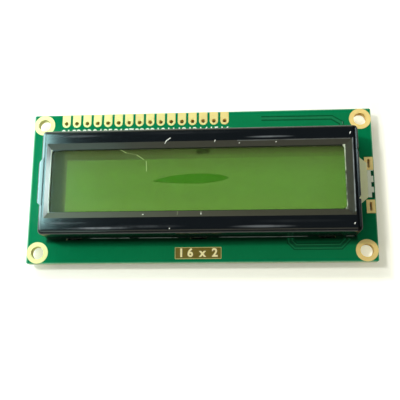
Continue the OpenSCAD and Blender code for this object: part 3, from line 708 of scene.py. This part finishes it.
def floor_finish():
    """Pale paper: it keeps the object's shadow and reads as white to the camera around it. A painted shadow darkens
    it where the board lies close over it and below the two lamp slots, so that nothing shines up through the small
    holes; its glow is painted lower near the board and higher below the screw holes."""
    f = Finish("studio_paper", Roughness=0.9)
    x, y, _ = f.axes()
    # painted shadow: dark under the board and below the two lamp slots
    painted_shadow_below = abs(x).ramp(36.5, 34.0) * abs(y).ramp(18.0, 17.0)
    slot_shadows = [near_point(x, y, 39.55, slot_y + 1.0, 0.5).ramp(1.2, 0.8) for slot_y in LAMP_SLOTS]
    painted_shadow_below = strongest([painted_shadow_below] + slot_shadows)
    paper = f.blend(f.noise(0.01, 2.0), (0.80, 0.80, 0.79), (0.82, 0.82, 0.81))
    f.set(Base_Color=f.blend(painted_shadow_below, paper, (0.05, 0.04, 0.03)))
    glow = f.node("ShaderNodeEmission", None, {"Color": (1.0, 0.99, 0.74, 1.0)})
    seen = Field(f, f.node("ShaderNodeLightPath").outputs["Is Camera Ray"])
    # painted shade: the glow is lower near the board, where its shadow falls, and rises away from it
    away = (abs(x) - 40.0).high(abs(y) - 18.0)
    glow_level = 0.25 + 0.37 * away.ramp(2.6, 4.6) + 0.5 * away.ramp(30.0, 260.0)
    # painted light: a little more glow below the four screw holes, which would otherwise look grey
    below_holes = near_point(abs(x), abs(y), SCREW_X, SCREW_Y).ramp(2.3, 1.5)
    glow_level = glow_level + 0.24 * below_holes
    f.link(glow.inputs["Strength"], seen * (1 - painted_shadow_below) * glow_level)
    both = f.out("ShaderNodeAddShader", None, {0: f.shader.outputs[0], 1: glow.outputs[0]})
    f.link(f.tree.nodes["Material Output"].inputs["Surface"], both)
    return f.material


mesh = bpy.data.meshes.new("floor")
mesh.from_pydata([(-2, -2, 0), (2, -2, 0), (2, 2, 0), (-2, 2, 0)], [], [(0, 1, 2, 3)])
mesh.materials.append(floor_finish())
floor = bpy.data.objects.new("floor", mesh)
bpy.context.scene.collection.objects.link(floor)


def softbox(name, place, aim, size, watts, colour, seen_in="both"):
    """An area lamp at place, facing aim, both in millimetres; seen_in limits it to soft light or to gloss."""
    lamp = bpy.data.lights.new(name, "AREA")
    lamp.shape, lamp.size, lamp.size_y = "RECTANGLE", size[0] * MM, size[1] * MM
    lamp.energy, lamp.color = watts, colour
    thing = bpy.data.objects.new(name, lamp)
    thing.location = Vector(place) * MM
    thing.rotation_euler = (Vector(aim) - Vector(place)).to_track_quat("-Z", "Y").to_euler()
    thing.visible_diffuse = seen_in != "gloss"
    thing.visible_glossy = seen_in != "soft"
    thing.visible_camera = thing.visible_transmission = False
    bpy.context.scene.collection.objects.link(thing)


def card(name, place, aim, size, radiance, colour):
    """A reflector that only gloss sees, given by how bright it looks."""
    softbox(name, place, aim, size, radiance * math.pi * size[0] * size[1] * MM * MM, colour, "gloss")


softbox("key", (-252, 104, 400), (0, 0, 5), (50, 50), 1.24, (1.0, 0.97, 0.90), "soft")
softbox("side_window", (-115, 15, 72), (-20, 0, 5), (70, 70), 0.055, (0.72, 1.0, 1.0), "soft")
softbox("back_window", (-55, 140, 95), (0, 0, 5), (170, 60), 0.26, (0.93, 1.0, 0.96), "soft")
softbox("right_fill", (150, -30, 70), (36, 0, 2), (60, 60), 0.030, (1.0, 0.97, 0.80), "soft")
softbox("front_fill", (-60, -150, 80), (-20, -14, 2), (80, 60), 0.040, (0.9, 1.0, 0.9), "soft")
card("left_card", (-75, 22, 35), (0, 22, 35), (46, 60), 13.5, (0.56, 1.0, 1.0))
card("right_card", (112, 38, 52), (-34, 0, 9), (22, 52), 37.0, (0.80, 1.0, 0.97))
card("lip_card", (-49.6, 13.5, 52), (-49.6, 13.5, 0), (3.8, 30), 27.0, (0.54, 1.0, 1.0))
card("front_card", (25, -48, 60), (25, 8, 9), (110, 22), 1.1, (1.0, 0.95, 0.66))
card("front_left_card", (-62, -48, 60), (-30, 8, 9), (60, 26), 2.8, (0.70, 1.0, 0.84))


def studio_world():
    """Soft warm light all round. Gloss sees a dark ceiling and a band of warm wall, whose height falls towards
    the back and the right, and which is cooler and brighter at the left."""
    world = bpy.data.worlds.new("studio")
    bpy.context.scene.world = world
    world.use_nodes = True
    f = NodeTree(world.node_tree)
    f.tree.nodes.clear()
    x, y, z = f.split(f.node("ShaderNodeTexCoord").outputs["Generated"])
    height = z - (0.42 - 0.20 * y - 0.35 * x)
    wall = height.ramp(-0.30, -0.10) * height.ramp(0.26, 0.08) * y.ramp(-0.42, -0.22)
    cool = (0 - x - 0.12).ramp(0.0, 0.22) * abs(y).ramp(0.45, 0.75)
    band = f.blend(cool, (1.10, 1.05, 0.68), (3.0, 4.2, 3.2))
    around = f.blend(z.ramp(0.0, 0.5), (0.30, 0.30, 0.28), (0.055, 0.085, 0.11))
    soft = f.out("ShaderNodeBackground", None, {0: (1.0, 0.94, 0.80, 1.0), 1: 0.19})
    gloss = f.out("ShaderNodeBackground", None, {0: f.blend(wall, around, band), 1: 1.0})
    white = f.out("ShaderNodeBackground", None, {0: (1.0, 1.0, 1.0, 1.0), 1: 1.0})
    rays = f.node("ShaderNodeLightPath")
    lit = f.out("ShaderNodeMixShader", None, {0: rays.outputs["Is Glossy Ray"], 1: soft, 2: gloss})
    shown = f.out("ShaderNodeMixShader", None, {0: rays.outputs["Is Camera Ray"], 1: lit, 2: white})
    f.link(f.node("ShaderNodeOutputWorld").inputs[0], shown)


studio_world()

scene = bpy.context.scene
scene.view_settings.view_transform = "Standard"
scene.cycles.transparent_max_bounces = 24

lens = bpy.data.cameras.new("camera")
lens.lens, lens.sensor_width, lens.clip_start, lens.clip_end = 58.77, 36.0, 0.01, 10.0
camera = bpy.data.objects.new("camera", lens)
camera.location = (0.010805, -0.038364, 0.149522)
camera.rotation_euler = tuple(math.radians(a) for a in (13.388, 4.134, 0.178))
scene.collection.objects.link(camera)
scene.camera = camera
